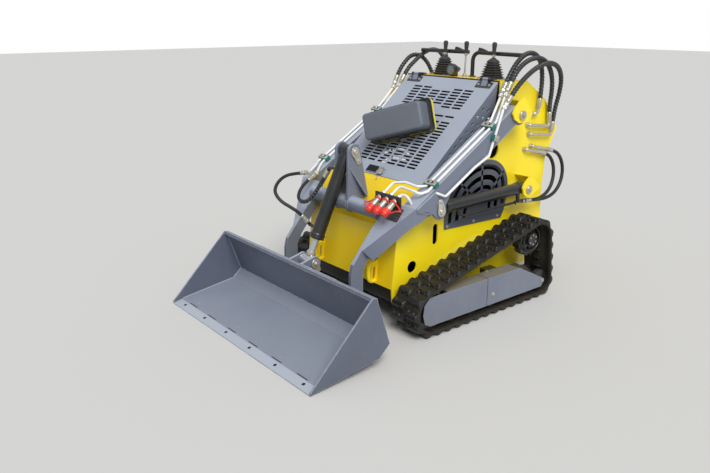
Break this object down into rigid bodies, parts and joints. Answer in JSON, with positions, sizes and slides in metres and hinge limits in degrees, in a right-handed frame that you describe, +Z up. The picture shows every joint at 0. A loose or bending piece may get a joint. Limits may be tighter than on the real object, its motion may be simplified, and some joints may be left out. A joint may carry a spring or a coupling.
{
  "type": "compact tracked skid steer loader",
  "caption": "Small ride-on tracked skid steer loader with lift arms, a tilting bucket, a hinged hood and a fold-up platform at the back.",
  "frame": {"origin": "on the ground, under the middle of the machine's length and width", "axes": "+X to the machine's left, -Y to its front (the bucket), +Z up"},
  "size_m": [1.26, 2.08, 1.3359],
  "materials": {
    "black_paint": "satin",
    "black_plastic": "matte",
    "chrome_rod": "polished",
    "grey_paint": "satin",
    "hose_rubber": "matte",
    "pad_rubber": "matte",
    "red_caps": "satin",
    "teal_clamp": "satin",
    "track_rubber": "matte",
    "white_lines": "gloss",
    "yellow_paint": "gloss",
    "zinc_steel": "satin"
  },
  "bodies": {
    "hood": {"air_cleaner": "black_plastic", "hood": "grey_paint"},
    "arms": {"arm_cylinder_pins": "zinc_steel", "arm_left": "grey_paint", "arm_right": "grey_paint", "coupler_bracket": "black_paint", "coupler_caps": "red_caps", "cross_tube": "grey_paint", "hard_lines": "white_lines", "hose_tilt_base": "hose_rubber", "hose_tilt_gland": "hose_rubber", "line_clamps": "teal_clamp", "quick_couplers": "zinc_steel", "tilt_bracket": "grey_paint"},
    "machine": {"arm_ears": "yellow_paint", "arm_pins": "zinc_steel", "belly_pan": "black_paint", "console_panel": "yellow_paint", "control_levers": "black_plastic", "cylinder_ears": "yellow_paint", "cylinder_pins": "zinc_steel", "drive_sprockets": "black_paint", "engine_block": "black_paint", "front_panel": "yellow_paint", "front_skid_panel": "black_paint", "grab_bars": "black_paint", "hood_hinges": "black_paint", "hose_fittings": "zinc_steel", "hose_left_inner": "hose_rubber", "hose_left_middle": "hose_rubber", "hose_left_outer": "hose_rubber", "hose_lift_base": "hose_rubber", "hose_lift_gland": "hose_rubber", "hose_right_inner": "hose_rubber", "hose_right_outer": "hose_rubber", "knee_pad": "pad_rubber", "platform_hinge_ears": "black_paint", "rear_panel": "yellow_paint", "rear_tie_downs": "black_paint", "side_plates": "yellow_paint", "track_frames": "black_paint", "track_guards": "grey_paint", "track_left": "track_rubber", "track_right": "track_rubber", "track_rollers": "black_paint", "track_wheels": "black_paint", "vent_grilles": "grey_paint", "work_lamp": "black_paint"},
    "bucket": {"attach_pins": "zinc_steel", "attach_plate": "grey_paint", "bucket": "grey_paint"},
    "lift_barrel_left": {"lift_barrel_left": "black_paint"},
    "lift_barrel_right": {"lift_barrel_right": "black_paint"},
    "lift_rod_left": {"lift_rod_left": "chrome_rod"},
    "lift_rod_right": {"lift_rod_right": "chrome_rod"},
    "platform": {"platform": "black_paint"},
    "tilt_barrel": {"tilt_barrel": "black_paint"},
    "tilt_rod": {"tilt_rod": "chrome_rod"}
  },
  "joints": [
    {"name": "arm_lift", "type": "hinge", "parent": "machine", "child": "arms", "pos_m": [0, 0.405, 0.991], "axis": [-1, 0, 0], "range_deg": [0, 75], "deforming": ["hose_left_inner", "hose_left_middle", "hose_left_outer", "hose_right_inner", "hose_right_outer"]},
    {"name": "bucket_tilt", "type": "hinge", "parent": "arms", "child": "bucket", "pos_m": [0, -0.512, 0.15], "axis": [1, 0, 0], "range_deg": [-20, 100]},
    {"name": "lift_barrel_left_swing", "type": "hinge", "parent": "machine", "child": "lift_barrel_left", "pos_m": [0.4075, 0.514, 0.592], "axis": [-1, 0, 0], "range_deg": [0, 53.73], "deforming": ["hose_lift_gland", "hose_lift_base"]},
    {"name": "lift_rod_left_slide", "type": "slide", "parent": "lift_barrel_left", "child": "lift_rod_left", "axis": [0, -0.9999, -0.0152], "range_m": [0, 0.3897]},
    {"name": "lift_barrel_right_swing", "type": "hinge", "parent": "machine", "child": "lift_barrel_right", "pos_m": [-0.4075, 0.514, 0.592], "axis": [-1, 0, 0], "range_deg": [0, 53.73]},
    {"name": "lift_rod_right_slide", "type": "slide", "parent": "lift_barrel_right", "child": "lift_rod_right", "axis": [0, -0.9999, -0.0152], "range_m": [0, 0.3897]},
    {"name": "tilt_barrel_swing", "type": "hinge", "parent": "arms", "child": "tilt_barrel", "pos_m": [0, -0.343, 0.834], "axis": [1, 0, 0], "range_deg": [-1.76, 4.81], "deforming": ["hose_tilt_gland", "hose_tilt_base"]},
    {"name": "tilt_rod_slide", "type": "slide", "parent": "tilt_barrel", "child": "tilt_rod", "axis": [0, -0.4305, -0.9026], "range_m": [-0.05557, 0.27386]},
    {"name": "hood_open", "type": "hinge", "parent": "machine", "child": "hood", "pos_m": [0, 0.362, 1.156], "axis": [-1, 0, 0], "range_deg": [0, 60]},
    {"name": "platform_fold", "type": "hinge", "parent": "machine", "child": "platform", "pos_m": [0, 0.806, 0.16], "axis": [1, 0, 0], "range_deg": [0, 90]}
  ],
  "couplings": [
    {"joint": "lift_barrel_left_swing", "follows": "arm_lift", "ratio": 0.70305},
    {"joint": "lift_rod_left_slide", "follows": "arm_lift", "m_per_rad": 0.29694},
    {"joint": "lift_barrel_right_swing", "follows": "arm_lift", "ratio": 0.70305},
    {"joint": "lift_rod_right_slide", "follows": "arm_lift", "m_per_rad": 0.29694},
    {"joint": "tilt_barrel_swing", "follows": "bucket_tilt", "ratio": 0.038077},
    {"joint": "tilt_rod_slide", "follows": "bucket_tilt", "m_per_rad": 0.15634}
  ]
}
